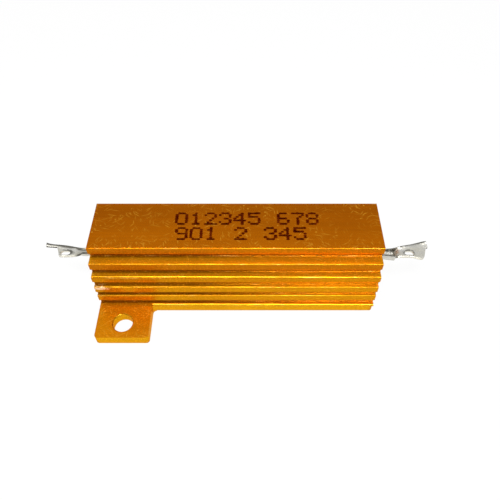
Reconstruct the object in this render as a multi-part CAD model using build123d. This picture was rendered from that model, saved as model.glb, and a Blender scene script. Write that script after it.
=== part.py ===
from build123d import *
import os
from math import cos, pi, radians, sin

# Wirewound power resistor in a finned aluminium housing that is screwed to a chassis.
# Millimetres. X runs along the body, the front is -Y and +Z is up. The origin lies on the
# mounting face, under the middle of the housing.

# Housing: an extrusion, finned along its flanks, with its flange milled back to two feet.
body_length = 50.0
body_height = 15.2
base_thickness = 2.0
base_width = 15.8
rib_thickness = 1.6
top_width = 10.4
shoulder_width = 13.1
middle_width = 14.8
flank_width = 15.2
groove_bite = 0.58
rib_nose_radius = 0.2
broad_nose_radius = 0.4
base_corner_radius = 0.8
base_edge_radius = 0.3
axis_height = 7.5
bore_diameter = 10.0
bore_edge_break = 0.25

# Feet: one at the front of the left end and one at the back of the right end.
foot_span = 29.2
foot_length = 9.5
foot_thickness = 2.0
foot_corner_radius = 0.6
notch_radius = 0.6
hole_end_inset = 4.65
hole_edge_inset = 3.0
hole_diameter = 3.5
hole_edge_break = 0.15

# Resistance element: a ceramic rod with a pressed steel cap on each end, wound between them.
core_inset = 6.5
core_diameter = 6.4
cap_wall = 0.35
cap_skirt = 4.0
wire_thickness = 0.4
wire_width = 1.6
winding_turns = 4
winding_clearance = 0.02

# Moulding compound: fills the bore round the element, set back a little from both ends.
compound_setback = 0.5

# Solder lugs: tinned sheet, rolled to a half tube at the neck and opened out to a leaf. Each
# reach is taken from the housing's end face, and each rise from the axis of the bore. The
# sections of a leaf give its reach, rise, bend radius and width.
sheet_thickness = 0.4
tine_reach = 10.2
tine_edge = 1.0
throat_radius = 0.3
relief_edge = -0.9
relief_depth = 2.0
hole_length = 1.7
hole_width = 1.1
hole_offset = -0.4
right_lug = {
    "rise": 0.1,
    "roll": -24,
    "neck_radius": 0.9,
    "neck_span": 180,
    "neck_reach": 3.8,
    "neck_flare": 0.45,
    "relief_length": 0.45,
    "leaf": [(5.0, 0.25, 2.6, 2.75), (6.7, 0.5, 3.2, 3.2), (8.2, 0.42, 4.5, 4.15), (10.7, 0.9, 4.5, 4.8)],
    "leaf_front": -2.1,
    "leaf_back": [(8.9, 2.6), (10.1, 2.3)],
    "lobe_reach": 9.9,
    "lobe_radius": 1.7,
    "lobe_slant": 1.0,
    "hole_reach": 6.55,
}
left_lug = {
    "rise": 0.65,
    "roll": -28,
    "neck_radius": 1.25,
    "neck_span": 135,
    "neck_reach": 3.0,
    "neck_flare": 0.05,
    "relief_length": 0.0,
    "leaf": [(4.4, 0.25, 2.6, 2.15), (6.0, 0.4, 3.2, 2.75), (8.3, 0.55, 4.5, 3.1), (10.7, 1.0, 4.5, 4.2)],
    "leaf_front": -1.5,
    "leaf_back": [(9.6, 2.6), (10.2, 2.6)],
    "lobe_reach": 8.2,
    "lobe_radius": 0.5,
    "lobe_slant": 0.95,
    "hole_reach": 6.4,
}

end_x = body_length / 2
core_length = body_length - 2 * core_inset
cap_x = core_length / 2 + cap_wall
core_radius = core_diameter / 2
cap_radius = core_radius + cap_wall
winding_half_length = core_length / 2 - cap_skirt
winding_radius = core_radius + wire_thickness
bore_radius = bore_diameter / 2
rib_widths = [top_width, shoulder_width, middle_width, flank_width, flank_width]
rib_noses = [rib_nose_radius, rib_nose_radius, broad_nose_radius, rib_nose_radius, rib_nose_radius]
rib_pitch = (body_height - base_thickness) / len(rib_widths)


def across(x, z=0.0):
    """Plane across the body at x, seen from +X, with its own x along +Y and its y up."""
    return Plane(origin=(x, 0, z), x_dir=(0, 1, 0), z_dir=(1, 0, 0))


def finned_section():
    """Half outline of the extrusion on +Y, from the middle of the top down to the base."""
    points = [(0, body_height)]
    noses = []
    half_widths = [width / 2 for width in rib_widths] + [base_width / 2]
    for level, nose_radius in enumerate(rib_noses):
        top = body_height - level * rib_pitch
        reach = half_widths[level]
        root = min(reach, half_widths[level + 1]) - groove_bite
        rib = [(reach, top), (reach, top - rib_thickness)]
        points += rib + [(root, top - rib_thickness), (root, top - rib_pitch)]
        noses.append((rib, nose_radius))
    base_nose = (base_width / 2, base_thickness)
    foot_nose = (base_width / 2, 0)
    points += [base_nose, foot_nose, (0, 0)]
    noses += [([base_nose], broad_nose_radius), ([foot_nose], base_edge_radius)]
    outline = make_face(Polyline(*points, close=True))
    for corners, radius in noses:
        outline = round_corners(outline, corners, radius)
    return outline


def round_corners(outline, corners, radius):
    """Fillet the corners of a flat outline that lie at the given points."""
    chosen = [
        vertex
        for vertex in outline.vertices()
        if any(abs(vertex.X - x) < 1e-6 and abs(vertex.Y - y) < 1e-6 for x, y in corners)
    ]
    return fillet(chosen, radius)


def finned_body():
    """The extrusion along X, with the lower corners of its base rounded in plan."""
    half = finned_section()
    section = half + mirror(half, Plane.YZ)
    body = extrude(across(-end_x) * section, body_length)
    base_plan = RectangleRounded(body_length, base_width, base_corner_radius)
    edge_height = base_thickness - broad_nose_radius
    slab = Pos(0, 0, edge_height / 2) * Box(2 * body_length, 2 * foot_span, edge_height)
    return body - (slab - extrude(base_plan, edge_height))


def foot():
    """Front left foot: what the mill leaves of the flange, blended into the base."""
    inner = -base_width / 2
    outer = -foot_span / 2
    left = -end_x
    right = left + foot_length
    plate = Pos((left + right) / 2, outer / 2) * Rectangle(foot_length, -outer)
    plate = round_corners(plate, [(left, outer), (right, outer)], foot_corner_radius)
    blend = Pos(right + notch_radius / 2, inner - notch_radius / 2) * Rectangle(notch_radius, notch_radius)
    blend -= Pos(right + notch_radius, inner - notch_radius) * Circle(notch_radius)
    return extrude(plate + blend, foot_thickness)


def mounting_hole():
    """Cutter for the front left screw hole, with both rims lightly broken."""
    rim = hole_diameter / 2 + hole_edge_break
    bore = Pos(0, 0, foot_thickness / 2) * Cylinder(hole_diameter / 2, 2 * foot_thickness)
    low = Pos(0, 0, hole_edge_break / 2) * Cone(rim, hole_diameter / 2, hole_edge_break)
    high = Pos(0, 0, foot_thickness - hole_edge_break / 2) * Cone(
        hole_diameter / 2, rim, hole_edge_break
    )
    return Pos(hole_end_inset - end_x, hole_edge_inset - foot_span / 2) * (bore + low + high)


def housing():
    """Finned body on its two diagonal feet, bored from end to end."""
    body = finned_body()
    for turn in (0, 180):
        body += Rot(0, 0, turn) * foot()
    for turn in (0, 180):
        body -= Rot(0, 0, turn) * mounting_hole()
    bore = across(-end_x, axis_height) * Circle(bore_radius)
    body -= extrude(bore, body_length)
    rims = [
        edge
        for edge in body.edges().filter_by(GeomType.CIRCLE)
        if abs(edge.radius - bore_radius) < 1e-6 and abs(abs(edge.center().X) - end_x) < 1e-6
    ]
    return chamfer(rims, bore_edge_break)


def on_axis(shape):
    """Turn a solid of revolution from the Z axis onto the axis of the bore."""
    return Pos(0, 0, axis_height) * Rot(0, 90, 0) * shape


def ceramic_core():
    """Plain ceramic rod."""
    return on_axis(Cylinder(core_radius, core_length))


def end_cap():
    """Drawn steel cup pressed over the right end of the rod."""
    floor = core_length / 2
    cup = Pos(0, 0, (cap_x + floor - cap_skirt) / 2) * Cylinder(cap_radius, cap_wall + cap_skirt)
    rod = Pos(0, 0, floor / 2) * Cylinder(core_radius, floor)
    return on_axis(cup - rod)


def resistance_winding():
    """Flat resistance wire wound on the rod as one open spiral, from cap to cap."""
    length = 2 * winding_half_length - wire_width
    pitch = length / winding_turns
    mean_radius = core_radius + wire_thickness / 2
    path = Helix(pitch, length, mean_radius, center=(0, 0, -length / 2))
    section = Plane(origin=(mean_radius, 0, -length / 2), x_dir=(1, 0, 0), z_dir=(0, 1, 0))
    wire = section * Rectangle(wire_thickness, wire_width)
    return on_axis(sweep(wire, path, is_frenet=True))


def strip_section(reach, rise, roll, bend_radius, width):
    """Sheet across the lug at one reach from the end face: part of a ring, open upwards."""
    half_span = width / 2 / bend_radius
    opening = radians(90 + roll)
    lift = bend_radius * cos(half_span)
    centre_y = lift * cos(opening)
    centre_z = lift * sin(opening)
    angles = [opening + pi - half_span, opening + pi, opening + pi + half_span]
    outer, inner = [
        [(centre_y + radius * cos(angle), centre_z + radius * sin(angle)) for angle in angles]
        for radius in (bend_radius + sheet_thickness / 2, bend_radius - sheet_thickness / 2)
    ]
    rim = [
        ThreePointArc(*outer),
        Line(outer[-1], inner[-1]),
        ThreePointArc(*reversed(inner)),
        Line(inner[0], outer[0]),
    ]
    return across(end_x + reach, axis_height + rise) * make_face(rim)


def leaf_outline(side):
    """Plan of the lug from above: a rounded lobe at the front, a longer tine at the back."""
    front = side["leaf_front"]
    corner = (end_x + side["lobe_reach"] - side["lobe_slant"], front)
    throat = (end_x + side["lobe_reach"], tine_edge)
    back_edge = [(end_x + reach, y) for reach, y in reversed(side["leaf_back"])]
    shoulder = (0, back_edge[-1][1])
    points = [(0, front), corner, throat, (end_x + tine_reach, tine_edge), *back_edge, shoulder]
    outline = make_face(Polyline(*points, close=True))
    outline = round_corners(outline, [corner], side["lobe_radius"])
    outline = round_corners(outline, [throat], throat_radius)
    if side["relief_length"] > 0:
        relief_x = end_x + side["neck_reach"] + side["relief_length"] / 2
        relief_y = relief_edge - relief_depth / 2
        outline -= Pos(relief_x, relief_y) * Rectangle(side["relief_length"], relief_depth)
    return outline - Pos(end_x + side["hole_reach"], hole_offset) * SlotOverall(hole_length, hole_width)


def neck_section(reach, side, flare=0.0):
    """Half tube across the neck at one reach from the end face, flared by some radius."""
    radius = side["neck_radius"] + flare
    return strip_section(reach, side["rise"], side["roll"], radius, radians(side["neck_span"]) * radius)


def lug(side):
    """Solder lug on the right end: half tube from the cap outwards, then the opened leaf."""
    neck_end = neck_section(side["neck_reach"], side, side["neck_flare"])
    neck = extrude(neck_section(cap_x - end_x, side), end_x - cap_x)
    neck += loft([neck_section(0, side), neck_end], ruled=True)
    leaf_roll = side["roll"] / 4
    leaf = [
        strip_section(reach, rise, leaf_roll, bend_radius, width)
        for reach, rise, bend_radius, width in side["leaf"]
    ]
    return (neck + loft([neck_end, *leaf])) & extrude(leaf_outline(side), 2 * axis_height)


def moulding_compound(inner_parts):
    """Silicone cement that fills the bore round the element and round both lug necks."""
    length = body_length - 2 * compound_setback
    plug = Cylinder(bore_radius, length)
    plug -= Cylinder(winding_radius + winding_clearance, 2 * winding_half_length)
    compound = on_axis(plug)
    for piece in inner_parts:
        compound -= piece
    return compound


core = ceramic_core()
caps = {"left": mirror(end_cap(), Plane.YZ), "right": end_cap()}
lugs = {"left": mirror(lug(left_lug), Plane.YZ), "right": lug(right_lug)}
winding = resistance_winding()

parts = {
    "housing": housing(),
    "ceramic_core": core,
    "resistance_winding": winding,
    "moulding_compound": moulding_compound([core, *caps.values(), *lugs.values()]),
}
for side in ("left", "right"):
    parts[f"end_cap_{side}"] = caps[side]
    parts[f"terminal_{side}"] = lugs[side]

os.makedirs("parts", exist_ok=True)
for name, shape in parts.items():
    shape.label = name
    export_step(shape, f"parts/{name}.step")
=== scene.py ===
"""Finishes, print and studio for the aluminium housed resistor, laid out as a Blender add-on."""

import math

import bmesh
import bpy
from bpy.props import FloatProperty, FloatVectorProperty, IntProperty, PointerProperty, StringProperty
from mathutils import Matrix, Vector


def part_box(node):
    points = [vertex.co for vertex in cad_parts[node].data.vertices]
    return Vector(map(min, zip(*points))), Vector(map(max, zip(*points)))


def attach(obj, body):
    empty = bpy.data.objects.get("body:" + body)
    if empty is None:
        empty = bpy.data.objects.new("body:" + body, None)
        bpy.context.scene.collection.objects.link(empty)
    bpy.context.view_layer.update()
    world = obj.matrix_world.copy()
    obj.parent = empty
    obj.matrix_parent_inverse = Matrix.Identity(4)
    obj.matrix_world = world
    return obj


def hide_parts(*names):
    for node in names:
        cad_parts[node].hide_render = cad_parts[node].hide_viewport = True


bl_info = {
    "name": "Aluminium Housed Resistor",
    "version": (1, 0, 0),
    "blender": (4, 5, 0),
    "location": "View3D > Sidebar > Resistor",
    "description": "Finishes, print and studio for a finned chassis resistor with solder lugs",
    "category": "Object",
}

MM = 0.001
BODY = "root"
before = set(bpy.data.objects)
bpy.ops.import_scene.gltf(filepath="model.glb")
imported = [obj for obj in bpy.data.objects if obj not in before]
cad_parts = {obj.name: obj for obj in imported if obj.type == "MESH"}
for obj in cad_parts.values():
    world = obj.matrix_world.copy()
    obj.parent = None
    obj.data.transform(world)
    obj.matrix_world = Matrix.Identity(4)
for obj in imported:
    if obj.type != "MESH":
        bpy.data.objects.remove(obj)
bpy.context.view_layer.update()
HOUSING_LOW, HOUSING_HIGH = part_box("housing")
WINDING_LOW, WINDING_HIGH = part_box("resistance_winding")

# Faces that meet at a larger angle than this have a sharp edge between them.
SHARP_ANGLE = math.radians(32)

# Where nearly all values of a noise lie, as the start and the end of a ramp.
NOISE_SPAN = (0.3, 0.7)
# What counts as a level face, by the upward part of its normal.
LEVEL_FACE = (0.75, 0.98)
# The housing's top face begins between these heights in millimetres.
TOP_FACE = (14.5, 15.0)

# Half width over the widest ribs, and the ledges above which the ribs stand back from it, as height and
# step; all in millimetres.
RIB_REACH = 7.6
RIB_STEPS = ((7.2, 0.2), (9.84, 0.85), (12.48, 1.35))
# Fine scratches on level faces: direction in degrees, length in millimetres, seed.
SCRATCH_SETS = (
    (35, 1.5, 3.0),
    (-52, 1.3, 11.0),
    (62, 1.0, 23.0),
    (84, 1.2, 37.0),
    (-28, 1.6, 51.0),
    (12, 2.2, 67.0),
)
# Rubbed places on the housing: centre and radii in millimetres.
SCUFFS = (
    ((-24.0, -7.4, 6.9), (1.7, 1.0, 0.42)),
    ((21.5, 7.4, 4.6), (1.4, 1.0, 0.4)),
    ((3.0, 14.0, 1.0), (1.2, 1.6, 0.5)),
)
# Painted shadow round the slots of the left and the right lug: centres and radii in millimetres.
SLOT_SHADOW_CENTRES = ((-31.1, -0.3, 7.8), (31.5, -0.35, 7.8))
SLOT_SHADOW_RADII = (1.35, 1.0, 2.0)

# Digits as strokes on a print head's grid, 4 steps wide and 6 high, from the lower left.
DIGIT_STROKES = {
    "0": [[(0, 1), (0, 5), (1, 6), (3, 6), (4, 5), (4, 1), (3, 0), (1, 0), (0, 1)]],
    "1": [[(1, 5), (2, 6), (2, 0)], [(1, 0), (3, 0)]],
    "2": [[(0, 5), (1, 6), (3, 6), (4, 5), (4, 4), (0, 0), (4, 0)]],
    "3": [
        [(0, 5), (1, 6), (3, 6), (4, 5), (4, 4), (3, 3), (4, 2), (4, 1), (3, 0), (1, 0), (0, 1)],
        [(2, 3), (3, 3)],
    ],
    "4": [[(4, 2), (0, 2), (0, 3), (3, 6), (3, 0)]],
    "5": [[(4, 6), (0, 6), (0, 4), (3, 4), (4, 3), (4, 1), (3, 0), (1, 0), (0, 1)]],
    "6": [[(3, 6), (1, 6), (0, 5), (0, 1), (1, 0), (3, 0), (4, 1), (4, 2), (3, 3), (0, 3)]],
    "7": [[(0, 6), (4, 6), (4, 5), (2, 3), (2, 0)]],
    "8": [
        [(1, 3), (0, 4), (0, 5), (1, 6), (3, 6), (4, 5), (4, 4), (3, 3), (1, 3)],
        [(1, 3), (0, 2), (0, 1), (1, 0), (3, 0), (4, 1), (4, 2), (3, 3)],
    ],
    "9": [[(4, 3), (1, 3), (0, 4), (0, 5), (1, 6), (3, 6), (4, 5), (4, 1), (3, 0), (1, 0)]],
}


# Node trees


class NodeTree:
    """Adds nodes to a shader or geometry tree; an input is given as a value or as a socket."""

    def __init__(self, tree):
        self.tree = tree

    def add(self, kind, inputs=None, **settings):
        node = self.tree.nodes.new(kind)
        for name, value in settings.items():
            setattr(node, name, value)
        for name, value in (inputs or {}).items():
            socket = node.inputs[name]
            if isinstance(value, bpy.types.NodeSocket):
                self.tree.links.new(value, socket)
            else:
                socket.default_value = value
        return node

    def place(self, scale=(1, 1, 1), turn=(0, 0, 0), location=(0, 0, 0)):
        """Object coordinates in millimetres, turned about Z and stretched for a pattern."""
        coordinates = self.add("ShaderNodeTexCoord")
        return self.add(
            "ShaderNodeMapping",
            {
                "Vector": coordinates.outputs["Object"],
                "Location": location,
                "Rotation": turn,
                "Scale": [factor / MM for factor in scale],
            },
        ).outputs["Vector"]

    def coordinates(self):
        """X, Y and Z on the piece in millimetres, as three sockets."""
        return self.add("ShaderNodeSeparateXYZ", {"Vector": self.place()}).outputs

    def facing(self):
        """Where the surface faces: size of each part of its normal, as three sockets."""
        normal = self.add("ShaderNodeTexCoord").outputs["Normal"]
        size = self.add("ShaderNodeVectorMath", {0: normal}, operation="ABSOLUTE")
        return self.add("ShaderNodeSeparateXYZ", {"Vector": size.outputs[0]}).outputs

    def blot(self, centre, radii, raggedness=0.5):
        """Mask of one ragged spot, 1 in the middle and 0 outside; sizes in millimetres."""
        scale = [1 / radius for radius in radii]
        offset = [-place * factor for place, factor in zip(centre, scale)]
        spot = self.place(scale=scale, location=offset)
        reach = self.add("ShaderNodeVectorMath", {0: spot}, operation="LENGTH").outputs["Value"]
        torn = self.noise((2.5, 5.0, 5.0), detail=3.0, roughness=0.7)
        reach = self.math("ADD", reach, self.ramp(torn, *NOISE_SPAN, -raggedness, raggedness))
        return self.ramp(reach, 0.95, 0.6)

    def mix_value(self, factor, first, second):
        """Blend of two numbers or sockets."""
        rest = self.math("SUBTRACT", 1.0, factor)
        return self.math("ADD", self.math("MULTIPLY", rest, first), self.math("MULTIPLY", factor, second))

    def noise(self, cells, detail=2.0, roughness=0.5):
        """Noise over the piece, with so many cells to the millimetre along X, Y and Z."""
        return self.add(
            "ShaderNodeTexNoise",
            {"Vector": self.place(scale=cells), "Scale": 1.0, "Detail": detail, "Roughness": roughness},
        ).outputs["Fac"]

    def cells(self, vector, **settings):
        """Cells round scattered centres: the distance to the nearest one, and its random colour."""
        return self.add("ShaderNodeTexVoronoi", {"Vector": vector, "Scale": 1.0}, **settings).outputs

    def ramp(self, value, low, high, out_low=0.0, out_high=1.0):
        """Value between low and high, spread over the output range and kept inside it."""
        return self.add(
            "ShaderNodeMapRange",
            {"Value": value, "From Min": low, "From Max": high, "To Min": out_low, "To Max": out_high},
        ).outputs["Result"]

    def math(self, operation, first, second=0.0, *more):
        """Result of an operation on numbers or sockets, taken from the left where there are several."""
        result = self.add("ShaderNodeMath", {0: first, 1: second}, operation=operation).outputs[0]
        return self.math(operation, result, *more) if more else result

    def mix(self, amount, first, second, blend="MIX"):
        """Blend of two colours or sockets."""
        node = self.add("ShaderNodeMix", {"Factor": amount}, data_type="RGBA", blend_type=blend)
        for name, colour in (("A", first), ("B", second)):
            socket = [s for s in node.inputs if s.name == name and s.type == "RGBA"][0]
            if isinstance(colour, bpy.types.NodeSocket):
                self.tree.links.new(colour, socket)
            else:
                socket.default_value = opaque(colour)
        return [s for s in node.outputs if s.type == "RGBA"][0]

    def bump(self, height, distance):
        """Normal of a surface that rises by the distance where the height is 1."""
        return self.add(
            "ShaderNodeBump", {"Height": height, "Distance": distance, "Strength": 1.0}
        ).outputs["Normal"]


def opaque(colour):
    """A colour with its alpha."""
    return (*colour[:3], 1.0)


class Finish(NodeTree):
    """Tree of a new material, with its surface shader, which takes the constants."""

    def __init__(self, name, **constants):
        self.material = bpy.data.materials.new(name)
        self.material.use_nodes = True
        super().__init__(self.material.node_tree)
        self.shader = self.tree.nodes["Principled BSDF"]
        for label, value in constants.items():
            self.shader.inputs[label.replace("_", " ")].default_value = value

    def close(self, height, depth, **sockets):
        """Give the shader its relief and its other sockets; returns the material."""
        sockets["Normal"] = self.bump(height, depth)
        for label, socket in sockets.items():
            self.tree.links.new(socket, self.shader.inputs[label.replace("_", " ")])
        return self.material


# Materials


def scratches(nodes, angle, length, width, share, seed):
    """Mask of fine straight scratches that lie one way on level faces, a share of the possible ones."""
    reach = 0.12
    turned = nodes.place(turn=(0, 0, math.radians(angle)), location=(seed, seed, 0))
    stretch = (2 * reach / length, 2 * reach / width, 1.0)
    vector = nodes.add("ShaderNodeMapping", {"Vector": turned, "Scale": stretch}).outputs["Vector"]
    cells = nodes.cells(vector, voronoi_dimensions="2D")
    depth = nodes.add("ShaderNodeSeparateColor", {"Color": cells["Color"]}).outputs["Red"]
    depth = nodes.ramp(depth, 1.0 - share, 1.0)
    return nodes.math("MULTIPLY", nodes.ramp(cells["Distance"], reach, reach / 3), depth)


def handling_marks(nodes, facing):
    """Mask of bright scratches on level faces and of specks everywhere, thicker in some places."""
    width, share, quite_level = 0.12, 0.6, (0.9, 0.98)
    smallest_speck, largest_speck = 0.01, 0.2
    thin_patch, thick_patch, front_band = 0.35, 1.0, (-2.2, -3.6)
    lines = [scratches(nodes, angle, length, width, share, seed) for angle, length, seed in SCRATCH_SETS]
    lines = nodes.math("MULTIPLY", nodes.math("MAXIMUM", *lines), nodes.ramp(facing["Z"], *quite_level))
    cells = nodes.cells(nodes.place(scale=(1.1, 1.3, 1.3)))
    size = nodes.add("ShaderNodeSeparateColor", {"Color": cells["Color"]}).outputs["Green"]
    radius = nodes.ramp(size, 0.3, 1.0, smallest_speck, largest_speck)
    specks = nodes.ramp(nodes.math("DIVIDE", cells["Distance"], radius), 1.0, 0.5)
    patches = nodes.ramp(nodes.noise((0.16, 0.3, 0.3)), 0.38, 0.56, thin_patch, thick_patch)
    patches = nodes.math("MAXIMUM", patches, nodes.ramp(nodes.coordinates()["Y"], *front_band))
    return nodes.math("MULTIPLY", nodes.math("MAXIMUM", lines, specks), patches)


def rib_wear(nodes, facing):
    """Mask of the places along the rounded rib edges where handling has thinned the dye."""
    off_upright, off_level = (0.15, 0.4), (0.98, 0.88)
    turned, sloping = nodes.ramp(facing["Z"], *off_upright), nodes.ramp(facing["Z"], *off_level)
    rubbed = nodes.noise((0.5, 2.0, 1.6), detail=3.0, roughness=0.65)
    return nodes.math("MULTIPLY", turned, sloping, nodes.ramp(rubbed, 0.54, 0.68))


def groove_shade_mask(nodes, facing):
    """Mask of the painted shade in the grooves, behind the face of the rib above, fading to the right."""
    over_base, under_top, off_ends = (1.8, 1.9), (15.1, 15.0), (0.8, 0.5)
    left_to_right, strong, weak = (-8.0, 12.0), 1.0, 0.1
    behind_face = (-0.05, 0.35)
    place = nodes.coordinates()
    depth = nodes.math("SUBTRACT", RIB_REACH, nodes.math("ABSOLUTE", place["Y"]))
    for ledge, step in RIB_STEPS:
        above = nodes.math("GREATER_THAN", place["Z"], ledge)
        depth = nodes.math("SUBTRACT", depth, nodes.math("MULTIPLY", above, step))
    inside = nodes.math(
        "MULTIPLY",
        nodes.ramp(place["Z"], *over_base),
        nodes.ramp(place["Z"], *under_top),
        nodes.ramp(facing["X"], *off_ends),
        nodes.ramp(place["X"], *left_to_right, strong, weak),
    )
    return nodes.math("MULTIPLY", nodes.ramp(depth, *behind_face), inside)


def gold_with_painted_light(nodes, facing, settings):
    """Painted light and shade: a lighter or darker gold for the flanks by height, for the base, feet and
    ledges, and a top painted darker towards the back.
    """
    flank_rise, base_edge, foot_to_ledge = (8.0, 11.5), (2.2, 1.8), (2.0, 6.0)
    front_to_back, back_shade_most = (-5.2, 3.0), 0.5
    place = nodes.coordinates()
    flank = nodes.mix(nodes.ramp(place["Z"], *flank_rise), settings.flank_low, settings.flank_high)
    flank = nodes.mix(nodes.ramp(place["Z"], *base_edge), flank, settings.base_gold)
    ledge = nodes.mix(nodes.ramp(place["Z"], *foot_to_ledge), settings.foot_gold, settings.ledge_gold)
    # Painted shade: the top is darker towards the back.
    back_shade = nodes.ramp(place["Y"], *front_to_back, 0.0, back_shade_most)
    crown = nodes.mix(back_shade, settings.crown_gold, settings.crown_shaded)
    level = nodes.mix(nodes.ramp(place["Z"], *TOP_FACE), ledge, crown)
    return nodes.mix(nodes.ramp(facing["Z"], *LEVEL_FACE), flank, level)


def metal_by_place(nodes, facing):
    """How metallic the gold is: most on the top, less on ledges and flanks, where gold lights gold."""
    top, ledge, flank = 0.9, 0.6, 0.68
    upright_side = (0.6, 0.95)
    below_top = nodes.ramp(nodes.coordinates()["Z"], *reversed(TOP_FACE))
    ledges = nodes.math("MULTIPLY", nodes.ramp(facing["Z"], *LEVEL_FACE), below_top)
    metal = nodes.ramp(ledges, 0.0, 1.0, top, ledge)
    return nodes.mix_value(nodes.ramp(facing["Y"], *upright_side), metal, flank)


def gold_anodised(settings):
    """Gold anodised extrusion: die lines, etched satin, uneven dye, sawn ends, handling marks, with light and
    shade painted into the gold by place and in the grooves.
    """
    worn_cover, bare_cover, scuff_cover = 0.4, 0.85, 0.85
    die_dark, die_light = 0.9, 1.07
    nodes = Finish(
        "gold_anodised",
        Coat_Weight=settings.seal_gloss,
        Coat_Roughness=0.22,
        Specular_IOR_Level=0.0,
        Specular_Tint=opaque(settings.grazing_colour),
    )
    facing = nodes.facing()
    die_lines = nodes.noise((0.03, 3.2, 3.2), detail=3.0, roughness=0.7)
    fine_lines = nodes.noise((0.12, 12.0, 12.0), roughness=0.6)
    etch = nodes.noise((5.0, 7.0, 7.0), roughness=0.6)
    saw = nodes.noise((0.5, 0.25, 7.0), detail=3.0, roughness=0.6)
    dye = nodes.ramp(nodes.noise((0.1, 0.22, 0.22), detail=4.0, roughness=0.6), 0.33, 0.67)
    worn = nodes.math("MULTIPLY", rib_wear(nodes, facing), worn_cover)
    marks = handling_marks(nodes, facing)
    scuff = nodes.math("MAXIMUM", *[nodes.blot(centre, radii) for centre, radii in SCUFFS])
    # Lit and shaded golds by place: painted light and shade.
    colour = gold_with_painted_light(nodes, facing, settings)
    colour = nodes.mix(1.0, colour, nodes.mix(dye, settings.dye_deep, settings.dye_pale), "MULTIPLY")
    colour = nodes.mix(1.0, colour, nodes.ramp(die_lines, *NOISE_SPAN, die_dark, die_light), "MULTIPLY")
    # Painted shade in the grooves, strongest to the left.
    colour = nodes.mix(groove_shade_mask(nodes, facing), colour, settings.groove_shade_tint, "MULTIPLY")
    colour = nodes.mix(worn, colour, settings.worn_colour)
    colour = nodes.mix(nodes.math("MULTIPLY", marks, bare_cover), colour, settings.bare_colour)
    colour = nodes.mix(nodes.math("MULTIPLY", scuff, scuff_cover), colour, settings.scuff_colour)
    rough = nodes.ramp(etch, *NOISE_SPAN, settings.roughness - 0.05, settings.roughness + 0.06)
    rough = nodes.math("ADD", rough, nodes.math("MULTIPLY", scuff, 0.25))
    drawn = nodes.math("ADD", nodes.math("MULTIPLY", fine_lines, 0.6), nodes.math("MULTIPLY", etch, 0.45))
    drawn = nodes.math("SUBTRACT", drawn, nodes.math("MULTIPLY", marks, 0.3))
    sawn = nodes.math("MULTIPLY", saw, 1.6, nodes.ramp(facing["X"], 0.8, 0.95))
    height, metal = nodes.math("ADD", drawn, sawn), metal_by_place(nodes, facing)
    return nodes.close(height, settings.grain_depth, Base_Color=colour, Metallic=metal, Roughness=rough)


def rim_and_slot_shade(nodes, place, along):
    """Mask of the painted shade along the back rim of both leaves, and of the painted shadow round their
    slots.
    """
    left_to_right = (-1.0, 1.0)
    left_rim, right_rim, left_flare, right_flare = 1.15, 1.4, 0.13, 0.27
    flare_start, neck_end, neck_inset = 30.6, (29.8, 29.2), 0.35
    rim_shade_cover, slot_shadow_cover = 0.9, 0.85
    slant = nodes.ramp(place["X"], *left_to_right, left_flare, right_flare)
    flared = nodes.math("MAXIMUM", nodes.math("SUBTRACT", along, flare_start), 0.0)
    rim = nodes.ramp(place["X"], *left_to_right, left_rim, right_rim)
    rim = nodes.math("ADD", rim, nodes.math("MULTIPLY", flared, slant))
    rim = nodes.math("SUBTRACT", rim, nodes.ramp(along, *neck_end, 0.0, neck_inset))
    # Painted shade along the back rim.
    dark = nodes.ramp(nodes.math("SUBTRACT", rim, place["Y"]), 0.55, 0.25, 0.0, rim_shade_cover)
    # Painted shadow round the slots.
    slot_shadow = nodes.math("MAXIMUM", *[nodes.blot(centre, SLOT_SHADOW_RADII, 0.3) for centre in SLOT_SHADOW_CENTRES])
    return nodes.math("MAXIMUM", dark, nodes.math("MULTIPLY", slot_shadow, slot_shadow_cover))


def tinned_sheet(settings):
    """Hot tinned sheet: thick and thin places in the tin, dull smears, small pits, painted shade on the neck
    and along the back rim, painted shadow round the slots.
    """
    neck, neck_shade_cover = (29.6, 28.6), 0.35
    nodes = Finish("tinned_sheet", Metallic=1.0)
    lumps = nodes.noise((0.7, 1.1, 1.1))
    smears = nodes.noise((0.5, 1.6, 1.6), detail=4.0, roughness=0.65)
    pits = nodes.noise((4.0, 4.0, 4.0), detail=3.0)
    place = nodes.coordinates()
    along = nodes.math("ABSOLUTE", place["X"])
    colour = nodes.mix(nodes.ramp(smears, 0.35, 0.66), settings.tin_bright, settings.tin_dull)
    colour = nodes.mix(nodes.ramp(pits, 0.6, 0.72, 0.0, 0.6), colour, settings.tin_stain_and_neck_shade)
    # Painted shade on the neck.
    colour = nodes.mix(nodes.ramp(along, *neck, 0.0, neck_shade_cover), colour, settings.tin_stain_and_neck_shade)
    # Painted shade along the back rims and painted shadow round the slots.
    colour = nodes.mix(rim_and_slot_shade(nodes, place, along), colour, settings.cut_dark_and_painted_shade)
    rough = nodes.ramp(smears, *NOISE_SPAN, 0.22, 0.48)
    height = nodes.math("ADD", lumps, nodes.math("MULTIPLY", pits, 0.14))
    return nodes.close(height, settings.tin_depth, Base_Color=colour, Roughness=rough)


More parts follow.
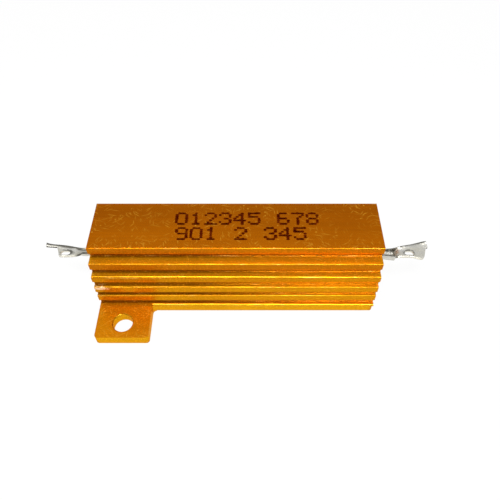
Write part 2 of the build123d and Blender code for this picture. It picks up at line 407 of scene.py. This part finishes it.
def sheared_edge(settings):
    """Cut edge of the lug's sheet: dark, with shear lines across it, and tinned along the leaf's front."""
    leaf_start, front = (29.0, 29.6), (1.0, 0.7)
    nodes = Finish("sheared_edge", Metallic=0.85)
    shear = nodes.noise((7.0, 7.0, 1.2))
    grime = nodes.noise((1.1, 1.6, 1.6), detail=3.0)
    place = nodes.coordinates()
    leaf = nodes.ramp(nodes.math("ABSOLUTE", place["X"]), *leaf_start)
    tinned = nodes.math("MULTIPLY", leaf, nodes.ramp(place["Y"], *front))
    colour = nodes.mix(nodes.ramp(grime, 0.35, 0.68), settings.cut_dark_and_painted_shade, settings.cut_grey)
    colour = nodes.mix(tinned, colour, settings.tin_dull)
    rough = nodes.ramp(shear, *NOISE_SPAN, 0.4, 0.6)
    return nodes.close(shear, 0.02 * MM, Base_Color=colour, Roughness=rough)


def moulding_cement(settings):
    """Silicone cement: chalky, with filler grains and a few burst bubbles."""
    nodes = Finish("moulding_cement")
    cloud = nodes.noise((0.4, 0.4, 0.4), detail=4.0, roughness=0.6)
    grains = nodes.noise((6.0, 6.0, 6.0), detail=3.0, roughness=0.7)
    bubbles = nodes.ramp(nodes.cells(nodes.place(scale=(0.9, 0.9, 0.9)))["Distance"], 0.05, 0.16)
    colour = nodes.mix(nodes.ramp(cloud, *NOISE_SPAN), settings.cement_grey, settings.cement_pale)
    colour = nodes.mix(nodes.ramp(grains, 0.55, 0.75, 0.0, 0.45), colour, settings.cement_grain)
    rough = nodes.ramp(grains, *NOISE_SPAN, 0.72, 0.92)
    height = nodes.math("ADD", nodes.math("MULTIPLY", grains, 0.5), bubbles)
    return nodes.close(height, 0.05 * MM, Base_Color=colour, Roughness=rough)


def fired_ceramic(settings):
    """Unglazed steatite rod: off-white, ground along its length, faintly speckled."""
    nodes = Finish("fired_ceramic")
    speckle = nodes.noise((4.0, 4.0, 4.0), detail=3.0)
    grinding = nodes.noise((8.0, 0.4, 0.4))
    colour = nodes.mix(nodes.ramp(speckle, 0.45, 0.75), settings.ceramic_white, settings.ceramic_speck)
    rough = nodes.ramp(grinding, *NOISE_SPAN, 0.5, 0.68)
    return nodes.close(grinding, 0.01 * MM, Base_Color=colour, Roughness=rough)


def drawn_steel(settings):
    """Press-drawn cap steel: draw lines along the skirt and a light heat tint."""
    nodes = Finish("drawn_steel", Metallic=1.0)
    draw = nodes.noise((0.15, 9.0, 9.0))
    tint = nodes.noise((0.5, 0.5, 0.5))
    colour = nodes.mix(nodes.ramp(tint, 0.35, 0.7), settings.steel_grey, settings.steel_tint)
    rough = nodes.ramp(draw, *NOISE_SPAN, 0.26, 0.4)
    return nodes.close(draw, 0.008 * MM, Base_Color=colour, Roughness=rough)


def resistance_alloy(settings):
    """Resistance ribbon: oxidised nickel alloy with rolling lines."""
    nodes = Finish("resistance_alloy", Metallic=1.0)
    oxide = nodes.noise((1.2, 1.2, 1.2), detail=3.0)
    rolling = nodes.noise((10.0, 0.5, 0.5))
    colour = nodes.mix(nodes.ramp(oxide, *NOISE_SPAN), settings.alloy_grey, settings.alloy_oxide)
    rough = nodes.ramp(rolling, *NOISE_SPAN, 0.34, 0.5)
    return nodes.close(rolling, 0.006 * MM, Base_Color=colour, Roughness=rough)


def marking_ink(settings):
    """Thin brown-black ink, patchy where the satin surface shows through it."""
    nodes = Finish("marking_ink", Specular_IOR_Level=0.0)
    cover = nodes.noise((3.0, 3.0, 3.0))
    colour = nodes.mix(nodes.ramp(cover, 0.35, 0.75), settings.ink_dark, settings.ink_thin)
    rough = nodes.ramp(cover, *NOISE_SPAN, 0.45, 0.65)
    return nodes.close(cover, 0.004 * MM, Base_Color=colour, Roughness=rough)


def studio_floor(settings):
    """Pale floor that reads as white to the eye and in reflections, and keeps a soft shadow."""
    nodes = Finish("studio_floor", Base_Color=opaque(settings.floor_colour), Roughness=0.9)
    path = nodes.add("ShaderNodeLightPath")
    kinds = ("Is Camera Ray", "Is Glossy Ray", "Is Transmission Ray")
    seen = nodes.math("MAXIMUM", *[path.outputs[kind] for kind in kinds])
    white = nodes.add("ShaderNodeEmission", {"Color": (1, 1, 1, 1), "Strength": 1.0})
    lifted = nodes.math("MULTIPLY", seen, settings.floor_lift)
    blend = nodes.add("ShaderNodeMixShader", {0: lifted, 1: nodes.shader.outputs[0], 2: white.outputs[0]})
    nodes.tree.links.new(blend.outputs[0], nodes.tree.nodes["Material Output"].inputs["Surface"])
    return nodes.close(nodes.noise((0.5, 0.5, 0.5)), 0.002 * MM)


# Meshes


def add_object(name, mesh):
    """New object in the scene that shows the mesh."""
    piece = bpy.data.objects.new(name, mesh)
    bpy.context.scene.collection.objects.link(piece)
    return piece


def made_plain(piece):
    """Turn the evaluated object into a plain mesh without its modifiers."""
    bpy.context.view_layer.update()
    depsgraph = bpy.context.evaluated_depsgraph_get()
    mesh = bpy.data.meshes.new_from_object(piece.evaluated_get(depsgraph))
    piece.modifiers.clear()
    piece.data = mesh
    mesh.name = piece.name
    return piece


def smooth_regions(source, crease):
    """Sets of faces that meet at less than the crease angle, the largest set first."""
    regions, left = [], set(source.faces)
    while left:
        region, front = set(), [left.pop()]
        while front:
            face = front.pop()
            region.add(face)
            for edge in face.edges:
                for other in edge.link_faces:
                    if other in left and face.normal.angle(other.normal, 0.0) < crease:
                        left.discard(other)
                        front.append(other)
        regions.append(region)
    return sorted(regions, key=lambda faces: -sum(face.calc_area() for face in faces))


def mark_groove_roots(source):
    """Weigh the inner corners that run along the extrusion for a bevel, which is widest at the top groove."""
    top_root, least_weight = 12.6 * MM, 0.35
    weight = source.edges.layers.float.new("bevel_weight_edge")
    for edge in source.edges:
        start, end = (corner.co for corner in edge.verts)
        lengthwise = abs(start.x - end.x) > 0.9 * (HOUSING_HIGH.x - HOUSING_LOW.x)
        if lengthwise and not edge.is_convex and edge.calc_face_angle(0.0) > math.radians(60):
            edge[weight] = least_weight + (1.0 - least_weight) * min(start.z / top_root, 1.0) ** 2


def fine_copy(node, name, edge_break, material, cut_material=None, root_radius=0.0):
    """Copy of a solid with its sharp edges broken, and its groove roots rounded where a radius is given.

    A sheet's cut edges may have their own material: its two faces are the largest smooth regions.
    """
    source = bmesh.new()
    source.from_mesh(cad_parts[node].data)
    bmesh.ops.remove_doubles(source, verts=source.verts, dist=1e-7)
    bmesh.ops.dissolve_limit(source, angle_limit=math.radians(0.3), verts=source.verts, edges=source.edges)
    mesh = bpy.data.meshes.new(name)
    mesh.materials.append(material)
    if root_radius > 0:
        mark_groove_roots(source)
    if cut_material is not None:
        mesh.materials.append(cut_material)
        for region in smooth_regions(source, SHARP_ANGLE)[2:]:
            for face in region:
                face.material_index = 1
    source.to_mesh(mesh)
    source.free()
    mesh.shade_smooth()
    piece = add_object(name, mesh)
    if root_radius > 0:
        root = piece.modifiers.new("groove_root", "BEVEL")
        root.width = root_radius
        root.segments = 5
        root.limit_method = "WEIGHT"
    bevel = piece.modifiers.new("edge_break", "BEVEL")
    bevel.width = edge_break
    bevel.segments = 2
    bevel.limit_method = "ANGLE"
    bevel.angle_limit = SHARP_ANGLE
    bevel.use_clamp_overlap = True
    normals = piece.modifiers.new("face_normals", "WEIGHTED_NORMAL")
    normals.mode = "FACE_AREA_WITH_ANGLE"
    normals.weight = 90
    return made_plain(piece)


def stand_in(piece, node):
    """Let a finished piece stand for its solid."""
    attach(piece, BODY)
    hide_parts(node)


def print_dots(text_rows, settings):
    """Centres of all printed dots, walked along each digit's strokes."""
    dots = set()
    for row, text in enumerate(text_rows):
        left = settings.left if row == 0 else settings.left + settings.row_shift
        low = settings.upper_row - row * settings.row_pitch
        for cell, digit in enumerate(text):
            for stroke in DIGIT_STROKES.get(digit, []):
                for start, end in zip(stroke, stroke[1:]):
                    steps = max(abs(end[0] - start[0]), abs(end[1] - start[1]))
                    for step in range(steps + 1):
                        column = start[0] + (end[0] - start[0]) * step / steps
                        line = start[1] + (end[1] - start[1]) * step / steps
                        dots.add(
                            (
                                round(left + cell * settings.cell_pitch + column * settings.dot_column, 7),
                                round(low + line * settings.dot_line, 7),
                            )
                        )
    return sorted(dots)


def geometry_tree(name, **inputs):
    """New geometry tree with its named inputs by kind; returns the tree helper and the inputs' sockets."""
    tree = bpy.data.node_groups.new(name, "GeometryNodeTree")
    tree.interface.new_socket("Geometry", in_out="INPUT", socket_type="NodeSocketGeometry")
    for kind, labels in inputs.items():
        for label in labels:
            tree.interface.new_socket(label, in_out="INPUT", socket_type=f"NodeSocket{kind}")
    tree.interface.new_socket("Geometry", in_out="OUTPUT", socket_type="NodeSocketGeometry")
    nodes = NodeTree(tree)
    return nodes, nodes.add("NodeGroupInput").outputs


def end_tree(nodes, geometry, material):
    """Close a geometry tree with real geometry that carries its material."""
    real = nodes.add("GeometryNodeRealizeInstances", {"Geometry": geometry})
    painted = nodes.add("GeometryNodeSetMaterial", {"Geometry": real.outputs[0], "Material": material})
    nodes.add("NodeGroupOutput", {"Geometry": painted.outputs[0]})
    return nodes.tree


def grow(piece, tree, values):
    """Run a geometry tree on a piece with the given inputs and keep the result as a plain mesh."""
    modifier = piece.modifiers.new(tree.name, "NODES")
    modifier.node_group = tree
    for item in tree.interface.items_tree:
        if item.in_out == "INPUT" and item.name in values:
            modifier[item.identifier] = values[item.name]
    made_plain(piece)
    if len(piece.data.polygons) == 0:
        raise RuntimeError(f"{piece.name} came out empty")


def dot_tree():
    """Ink dots on points: flat round films, stretched along the line of travel of the print head."""
    sizes = ("Dot Length", "Dot Width", "Film", "Scatter")
    nodes, given = geometry_tree("ink_dots", Float=sizes, Int=("Seed",), Material=("Ink",))
    scatter = given["Scatter"]
    low = nodes.math("MULTIPLY", scatter, -1.0)
    stray = nodes.add(
        "FunctionNodeRandomValue",
        {
            "Min": nodes.add("ShaderNodeCombineXYZ", {"X": low, "Y": low}).outputs[0],
            "Max": nodes.add("ShaderNodeCombineXYZ", {"X": scatter, "Y": scatter}).outputs[0],
            "Seed": given["Seed"],
        },
        data_type="FLOAT_VECTOR",
    )
    spread = nodes.add(
        "GeometryNodeSetPosition", {"Geometry": given["Geometry"], "Offset": stray.outputs[0]}
    )
    disc = nodes.add(
        "GeometryNodeMeshCylinder", {"Vertices": 12, "Radius": 0.5, "Depth": 1.0}, fill_type="NGON"
    )
    size = nodes.add(
        "ShaderNodeCombineXYZ",
        {"X": given["Dot Length"], "Y": given["Dot Width"], "Z": given["Film"]},
    )
    film = nodes.add("GeometryNodeTransform", {"Geometry": disc.outputs["Mesh"], "Scale": size.outputs[0]})
    growth = nodes.add(
        "FunctionNodeRandomValue",
        {"Min": (0.82, 0.8, 1.0), "Max": (1.12, 1.2, 1.0), "Seed": given["Seed"]},
        data_type="FLOAT_VECTOR",
    )
    dots = nodes.add(
        "GeometryNodeInstanceOnPoints",
        {"Points": spread.outputs[0], "Instance": film.outputs[0], "Scale": growth.outputs[0]},
    )
    return end_tree(nodes, dots.outputs[0], given["Ink"])


def winding_tree():
    """Flat ribbon swept along a helix about the body's length."""
    sizes = ("Turns", "Mean Radius", "Length", "Ribbon Width", "Ribbon Thickness", "Axis Height")
    nodes, given = geometry_tree("ribbon_winding", Float=sizes, Material=("Alloy",))
    spiral = nodes.add(
        "GeometryNodeCurveSpiral",
        {
            "Resolution": 40,
            "Rotations": given["Turns"],
            "Start Radius": given["Mean Radius"],
            "End Radius": given["Mean Radius"],
            "Height": given["Length"],
        },
    )
    upright = nodes.add("GeometryNodeSetCurveNormal", {"Curve": spiral.outputs[0]}, mode="Z_UP")
    ribbon = nodes.add(
        "GeometryNodeCurvePrimitiveQuadrilateral",
        {"Width": given["Ribbon Thickness"], "Height": given["Ribbon Width"]},
    )
    swept = nodes.add(
        "GeometryNodeCurveToMesh",
        {"Curve": upright.outputs[0], "Profile Curve": ribbon.outputs[0], "Fill Caps": True},
    )
    start = nodes.math("MULTIPLY", given["Length"], -0.5)
    place = nodes.add("ShaderNodeCombineXYZ", {"X": start, "Z": given["Axis Height"]})
    laid = nodes.add(
        "GeometryNodeTransform",
        {
            "Geometry": swept.outputs[0],
            "Translation": place.outputs[0],
            "Rotation": (0, math.radians(90), 0),
        },
    )
    return end_tree(nodes, laid.outputs[0], given["Alloy"])


# Settings


class HousingSettings(bpy.types.PropertyGroup):
    edge_break: FloatProperty(
        name="Edge Break", description="Width of the broken edges", default=0.08 * MM, subtype="DISTANCE"
    )
    groove_root: FloatProperty(
        name="Groove Root", description="Rounding of the groove roots", default=0.48 * MM, subtype="DISTANCE"
    )
    # The golds from Low Flank to Far Side are lit and shaded copies of one gold: painted light and shade, one
    # for each part of the housing.
    flank_low: FloatVectorProperty(
        name="Low Flank", description="Gold of the lower flanks", default=(0.65, 0.27, 0.004), subtype="COLOR"
    )
    flank_high: FloatVectorProperty(
        name="High Flank",
        description="Gold of the upper flanks",
        default=(0.52, 0.165, 0.002),
        subtype="COLOR",
    )
    base_gold: FloatVectorProperty(
        name="Base",
        description="Upright faces of base and feet",
        default=(0.74, 0.35, 0.009),
        subtype="COLOR",
    )
    foot_gold: FloatVectorProperty(
        name="Feet", description="Gold of the feet from above", default=(0.64, 0.215, 0.002), subtype="COLOR"
    )
    ledge_gold: FloatVectorProperty(
        name="Ledges", description="Upper sides of the ribs", default=(0.62, 0.27, 0.004), subtype="COLOR"
    )
    crown_gold: FloatVectorProperty(
        name="Top", description="Gold of the top face", default=(0.63, 0.17, 0.001), subtype="COLOR"
    )
    # Painted shade on the top towards the back.
    crown_shaded: FloatVectorProperty(
        name="Far Side", description="Painted shade on the top towards the back", default=(0.34, 0.08, 0.001), subtype="COLOR"
    )
    # Painted shade in the grooves.
    groove_shade_tint: FloatVectorProperty(
        name="Grooves", description="Painted shade in the grooves", default=(0.56, 0.5, 0.3), subtype="COLOR"
    )
    dye_deep: FloatVectorProperty(
        name="Deep Dye", description="Tint where dye took well", default=(0.92, 0.88, 0.8), subtype="COLOR"
    )
    dye_pale: FloatVectorProperty(
        name="Pale Dye", description="Tint where the dye took less", default=(1.0, 1.0, 1.0), subtype="COLOR"
    )
    grazing_colour: FloatVectorProperty(
        name="Grazing Gold", description="Gold seen at a low angle", default=(1.0, 0.6, 0.12), subtype="COLOR"
    )
    worn_colour: FloatVectorProperty(
        name="Worn Gold", description="Rib edges with thin dye", default=(0.9, 0.5, 0.1), subtype="COLOR"
    )
    bare_colour: FloatVectorProperty(
        name="Bare Metal", description="Metal shown by a scratch", default=(1.0, 0.5, 0.04), subtype="COLOR"
    )
    scuff_colour: FloatVectorProperty(
        name="Scuff", description="Rubbed places", default=(0.95, 0.72, 0.5), subtype="COLOR"
    )
    roughness: FloatProperty(
        name="Roughness", description="Satin of the etched surface", default=0.24, subtype="FACTOR"
    )
    seal_gloss: FloatProperty(
        name="Seal Gloss", description="Sheen of the sealed oxide", default=0.035, subtype="FACTOR"
    )
    grain_depth: FloatProperty(
        name="Grain Depth", description="Depth of die lines and etch", default=0.018 * MM, subtype="DISTANCE"
    )


class PrintSettings(bpy.types.PropertyGroup):
    upper_text: StringProperty(name="Upper Row", description="Digits of the upper row", default="012345 678")
    lower_text: StringProperty(name="Lower Row", description="Digits of the lower row", default="901 2 345")
    left: FloatProperty(
        name="Left", description="Start of the upper row", default=-10.4 * MM, subtype="DISTANCE"
    )
    row_shift: FloatProperty(
        name="Row Shift", description="Lower row's start from the upper", default=0.2 * MM, subtype="DISTANCE"
    )
    upper_row: FloatProperty(
        name="Upper Line", description="Lowest dots of the upper row", default=0.28 * MM, subtype="DISTANCE"
    )
    row_pitch: FloatProperty(
        name="Row Pitch", description="From one row to the next", default=3.4 * MM, subtype="DISTANCE"
    )
    cell_pitch: FloatProperty(
        name="Cell Pitch", description="From one digit to the next", default=2.53 * MM, subtype="DISTANCE"
    )
    dot_column: FloatProperty(
        name="Dot Column", description="Dot pitch along a row", default=0.43 * MM, subtype="DISTANCE"
    )
    dot_line: FloatProperty(
        name="Dot Line", description="Dot pitch across a row", default=0.41 * MM, subtype="DISTANCE"
    )
    dot_length: FloatProperty(
        name="Dot Length", description="Size of a dot along the row", default=0.62 * MM, subtype="DISTANCE"
    )
    dot_width: FloatProperty(
        name="Dot Width", description="Size of a dot across the row", default=0.48 * MM, subtype="DISTANCE"
    )
    film: FloatProperty(
        name="Film", description="Thickness of the ink", default=0.004 * MM, subtype="DISTANCE"
    )
    scatter: FloatProperty(
        name="Scatter", description="How far a dot strays", default=0.03 * MM, subtype="DISTANCE"
    )
    seed: IntProperty(name="Seed", description="Seed of the stray dots", default=7)
    ink_dark: FloatVectorProperty(
        name="Ink", description="Ink where it lies thick", default=(0.04, 0.002, 0.0003), subtype="COLOR"
    )
    ink_thin: FloatVectorProperty(
        name="Thin Ink",
        description="Ink that lets gold through",
        default=(0.11, 0.012, 0.0003),
        subtype="COLOR",
    )


class TerminalSettings(bpy.types.PropertyGroup):
    edge_break: FloatProperty(
        name="Edge Break", description="Tin run over the cut edges", default=0.06 * MM, subtype="DISTANCE"
    )
    tin_bright: FloatVectorProperty(
        name="Bright Tin", description="Tin where it ran smooth", default=(0.86, 0.85, 0.8), subtype="COLOR"
    )
    tin_dull: FloatVectorProperty(
        name="Dull Tin", description="Tin where it froze dull", default=(0.72, 0.7, 0.61), subtype="COLOR"
    )
    # Used for the pits and for the painted shade on the neck.
    tin_stain_and_neck_shade: FloatVectorProperty(
        name="Stain and Neck Shade", description="Pits, and painted shade on the neck", default=(0.3, 0.28, 0.22), subtype="COLOR"
    )
    # Used for the cut edges and for the painted shade along the back rims and round the slots.
    cut_dark_and_painted_shade: FloatVectorProperty(
        name="Dark Cut", description="Cut edge without tin, also the painted shade on the lugs", default=(0.07, 0.065, 0.05), subtype="COLOR"
    )
    cut_grey: FloatVectorProperty(
        name="Grey Cut", description="Cut edge with a little tin", default=(0.22, 0.21, 0.18), subtype="COLOR"
    )
    tin_depth: FloatProperty(
        name="Tin Depth", description="Height of the lumps in the tin", default=0.12 * MM, subtype="DISTANCE"
    )


class ElementSettings(bpy.types.PropertyGroup):
    ribbon_width: FloatProperty(
        name="Ribbon Width", description="Width of the ribbon", default=1.6 * MM, subtype="DISTANCE"
    )
    ribbon_thickness: FloatProperty(
        name="Ribbon Thickness", description="Thickness of the ribbon", default=0.4 * MM, subtype="DISTANCE"
    )
    turns: FloatProperty(name="Turns", description="Turns of the winding", default=4.0)
    alloy_grey: FloatVectorProperty(
        name="Alloy", description="Clean resistance alloy", default=(0.36, 0.33, 0.29), subtype="COLOR"
    )
    alloy_oxide: FloatVectorProperty(
        name="Alloy Oxide", description="Oxidised alloy", default=(0.2, 0.15, 0.11), subtype="COLOR"
    )
    ceramic_white: FloatVectorProperty(
        name="Ceramic", description="Fired steatite", default=(0.76, 0.73, 0.66), subtype="COLOR"
    )
    ceramic_speck: FloatVectorProperty(
        name="Ceramic Speck", description="Specks in the steatite", default=(0.6, 0.55, 0.46), subtype="COLOR"
    )
    steel_grey: FloatVectorProperty(
        name="Cap Steel", description="Drawn steel", default=(0.46, 0.45, 0.43), subtype="COLOR"
    )
    steel_tint: FloatVectorProperty(
        name="Heat Tint", description="Steel tinted by the weld", default=(0.36, 0.3, 0.24), subtype="COLOR"
    )
    cement_pale: FloatVectorProperty(
        name="Pale Cement", description="Moulding compound", default=(0.55, 0.53, 0.48), subtype="COLOR"
    )
    cement_grey: FloatVectorProperty(
        name="Grey Cement", description="Compound in grey places", default=(0.4, 0.385, 0.35), subtype="COLOR"
    )
    cement_grain: FloatVectorProperty(
        name="Cement Grain", description="Filler grains", default=(0.68, 0.66, 0.62), subtype="COLOR"
    )


class StageSettings(bpy.types.PropertyGroup):
    floor_size: FloatProperty(
        name="Floor Size", description="Side of the floor", default=4.0, subtype="DISTANCE"
    )
    floor_colour: FloatVectorProperty(
        name="Floor", description="Pale floor", default=(0.9, 0.9, 0.9), subtype="COLOR"
    )
    floor_lift: FloatProperty(
        name="Floor Lift", description="Share of plain white in the floor", default=0.93, subtype="FACTOR"
    )
    camera_place: FloatVectorProperty(
        name="Camera",
        description="Place of the camera",
        default=(2.38 * MM, -60.059 * MM, 84.369 * MM),
        subtype="TRANSLATION",
    )
    camera_pitch: FloatProperty(
        name="Camera Pitch", description="Tilt below level", default=math.radians(51.719), subtype="ANGLE"
    )
    lens: FloatProperty(name="Lens", description="Focal length in millimetres", default=38.16)


class ResistorSettings(bpy.types.PropertyGroup):
    housing: PointerProperty(type=HousingSettings)
    marking: PointerProperty(type=PrintSettings)
    terminals: PointerProperty(type=TerminalSettings)
    element: PointerProperty(type=ElementSettings)
    stage: PointerProperty(type=StageSettings)


# Operators


class RESISTOR_OT_housing(bpy.types.Operator):
    """Break the housing's edges, round its groove roots and give it its gold anodised finish"""

    bl_idname = "resistor.housing"
    bl_label = "Housing"

    def execute(self, context):
        settings = context.scene.resistor.housing
        gold = gold_anodised(settings)
        rounding = settings.groove_root
        piece = fine_copy("housing", "anodised_housing", settings.edge_break, gold, root_radius=rounding)
        stand_in(piece, "housing")
        return {"FINISHED"}


class RESISTOR_OT_terminals(bpy.types.Operator):
    """Round the tin over the edges of both solder lugs and give them their tinned finish"""

    bl_idname = "resistor.terminals"
    bl_label = "Solder Lugs"

    def execute(self, context):
        settings = context.scene.resistor.terminals
        tin, cut = tinned_sheet(settings), sheared_edge(settings)
        for side in ("left", "right"):
            node = f"terminal_{side}"
            piece = fine_copy(node, f"tinned_lug_{side}", settings.edge_break, tin, cut)
            stand_in(piece, node)
        return {"FINISHED"}


class RESISTOR_OT_element(bpy.types.Operator):
    """Give the ceramic rod and its pressed caps their finishes"""

    bl_idname = "resistor.element"
    bl_label = "Rod and Caps"

    def execute(self, context):
        settings = context.scene.resistor.element
        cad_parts["ceramic_core"].data.materials[0] = fired_ceramic(settings)
        steel = drawn_steel(settings)
        for side in ("left", "right"):
            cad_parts[f"end_cap_{side}"].data.materials[0] = steel
        return {"FINISHED"}


class RESISTOR_OT_winding(bpy.types.Operator):
    """Wind the resistance ribbon on the rod from cap to cap"""

    bl_idname = "resistor.winding"
    bl_label = "Winding"

    def execute(self, context):
        settings = context.scene.resistor.element
        outer_radius = (WINDING_HIGH.y - WINDING_LOW.y) / 2
        values = {
            "Turns": settings.turns,
            "Mean Radius": outer_radius - settings.ribbon_thickness / 2,
            "Length": WINDING_HIGH.x - WINDING_LOW.x - settings.ribbon_width,
            "Ribbon Width": settings.ribbon_width,
            "Ribbon Thickness": settings.ribbon_thickness,
            "Axis Height": (WINDING_HIGH.z + WINDING_LOW.z) / 2,
            "Alloy": resistance_alloy(settings),
        }
        piece = add_object("ribbon_winding", bpy.data.meshes.new("ribbon_winding"))
        grow(piece, winding_tree(), values)
        stand_in(piece, "resistance_winding")
        return {"FINISHED"}


class RESISTOR_OT_compound(bpy.types.Operator):
    """Give the moulding compound in the bore its chalky finish"""

    bl_idname = "resistor.compound"
    bl_label = "Moulding Compound"

    def execute(self, context):
        settings = context.scene.resistor.element
        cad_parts["moulding_compound"].data.materials[0] = moulding_cement(settings)
        return {"FINISHED"}


class RESISTOR_OT_marking(bpy.types.Operator):
    """Print two rows of plain digits on top of the housing, dot by dot"""

    bl_idname = "resistor.marking"
    bl_label = "Printed Digits"

    def execute(self, context):
        settings = context.scene.resistor.marking
        dots = print_dots([settings.upper_text, settings.lower_text], settings)
        top = HOUSING_HIGH.z
        points = bpy.data.meshes.new("printed_digits")
        points.from_pydata([(x, y, top) for x, y in dots], [], [])
        piece = add_object("printed_digits", points)
        values = {
            "Dot Length": settings.dot_length,
            "Dot Width": settings.dot_width,
            "Film": 2 * settings.film,
            "Scatter": settings.scatter,
            "Seed": settings.seed,
            "Ink": marking_ink(settings),
        }
        grow(piece, dot_tree(), values)
        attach(piece, BODY)
        return {"FINISHED"}


class RESISTOR_OT_stage(bpy.types.Operator):
    """Set up the pale floor, the studio light and the camera"""

    bl_idname = "resistor.stage"
    bl_label = "Studio"

    def execute(self, context):
        settings = context.scene.resistor.stage
        scene = context.scene
        scene.view_settings.view_transform = "Standard"
        self.floor(settings)
        self.world(scene)
        self.lamps()
        self.camera(scene, settings)
        return {"FINISHED"}

    def floor(self, settings):
        """Square floor just under the mounting face."""
        half = settings.floor_size / 2
        below = -0.02 * MM
        mesh = bpy.data.meshes.new("floor")
        corners = [(-half, -half, below), (half, -half, below), (half, half, below), (-half, half, below)]
        mesh.from_pydata(corners, [], [(0, 1, 2, 3)])
        mesh.materials.append(studio_floor(settings))
        add_object("floor", mesh)

    def world(self, scene):
        """White to the eye and level with it, greyer overhead for what it lights and what mirrors it."""
        world = bpy.data.worlds.new("studio")
        world.use_nodes = True
        scene.world = world
        nodes = NodeTree(world.node_tree)
        backdrop = world.node_tree.nodes["Background"]
        backdrop.inputs["Color"].default_value = (1, 1, 1, 1)
        direction = nodes.add("ShaderNodeTexCoord").outputs["Generated"]
        axes = nodes.add("ShaderNodeSeparateXYZ", {"Vector": direction}).outputs
        front, back, low, high, lit, seen = 0.3, 0.62, 1.3, 1.0, 0.8, 1.0
        room = nodes.ramp(axes["Y"], -0.5, 0.3, front, back)
        room = nodes.math("MULTIPLY", room, nodes.ramp(axes["Z"], 0.0, 0.5, low, high))
        path = nodes.add("ShaderNodeLightPath")
        mirrored = nodes.math("MAXIMUM", path.outputs["Is Glossy Ray"], path.outputs["Is Transmission Ray"])
        level = nodes.math("MULTIPLY", room, nodes.ramp(mirrored, 0.0, 1.0, lit, seen))
        strength = nodes.math("MAXIMUM", level, path.outputs["Is Camera Ray"])
        world.node_tree.links.new(strength, backdrop.inputs["Strength"])

    def lamps(self):
        """Soft boxes aimed at the middle of the housing, in degrees, metres and watts."""
        target = (HOUSING_LOW + HOUSING_HIGH) / 2
        for name, azimuth, elevation, distance, width, height, power in (
            ("overhead", -18, 74, 0.30, 0.17, 0.08, 0.80),
            ("key", 19, 47, 0.30, 0.10, 0.05, 0.35),
            ("front", -8, 12, 0.34, 0.20, 0.06, 0.06),
        ):
            light = bpy.data.lights.new(name, "AREA")
            light.shape = "RECTANGLE"
            light.size, light.size_y, light.energy = width, height, power
            lamp = bpy.data.objects.new(name, light)
            bpy.context.scene.collection.objects.link(lamp)
            turn, rise = math.radians(azimuth), math.radians(elevation)
            away = Vector((math.sin(turn) * math.cos(rise), -math.cos(turn) * math.cos(rise), math.sin(rise)))
            lamp.location = target + away * distance
            lamp.rotation_euler = away.to_track_quat("Z", "Y").to_euler()

    def camera(self, scene, settings):
        """Level camera in front of the part and above it, tilted down at it."""
        data = bpy.data.cameras.new("camera")
        data.lens = settings.lens
        data.clip_start = 1 * MM
        camera = bpy.data.objects.new("camera", data)
        scene.collection.objects.link(camera)
        camera.location = settings.camera_place
        camera.rotation_euler = (math.radians(90) - settings.camera_pitch, 0, 0)
        scene.camera = camera


class VIEW3D_PT_resistor(bpy.types.Panel):
    """Sidebar panel that lists the steps of the resistor's finish"""

    bl_idname = "VIEW3D_PT_resistor"
    bl_label = "Aluminium Housed Resistor"
    bl_space_type = "VIEW_3D"
    bl_region_type = "UI"
    bl_category = "Resistor"

    def draw(self, context):
        settings = context.scene.resistor
        for operator, group in STEPS:
            box = self.layout.box()
            box.operator(operator.bl_idname)
            for label in getattr(settings, group).__annotations__:
                box.prop(getattr(settings, group), label)


# Each step with the settings that it reads.
STEPS = (
    (RESISTOR_OT_housing, "housing"),
    (RESISTOR_OT_terminals, "terminals"),
    (RESISTOR_OT_element, "element"),
    (RESISTOR_OT_winding, "element"),
    (RESISTOR_OT_compound, "element"),
    (RESISTOR_OT_marking, "marking"),
    (RESISTOR_OT_stage, "stage"),
)

CLASSES = (
    HousingSettings,
    PrintSettings,
    TerminalSettings,
    ElementSettings,
    StageSettings,
    ResistorSettings,
    *(operator for operator, group in STEPS),
    VIEW3D_PT_resistor,
)


def register():
    for item in CLASSES:
        bpy.utils.register_class(item)
    bpy.types.Scene.resistor = PointerProperty(type=ResistorSettings)


def unregister():
    del bpy.types.Scene.resistor
    for item in reversed(CLASSES):
        bpy.utils.unregister_class(item)


def main():
    register()
    bpy.ops.resistor.housing()
    bpy.ops.resistor.terminals()
    bpy.ops.resistor.element()
    bpy.ops.resistor.winding()
    bpy.ops.resistor.compound()
    bpy.ops.resistor.marking()
    bpy.ops.resistor.stage()


if __name__ == "__main__":
    main()
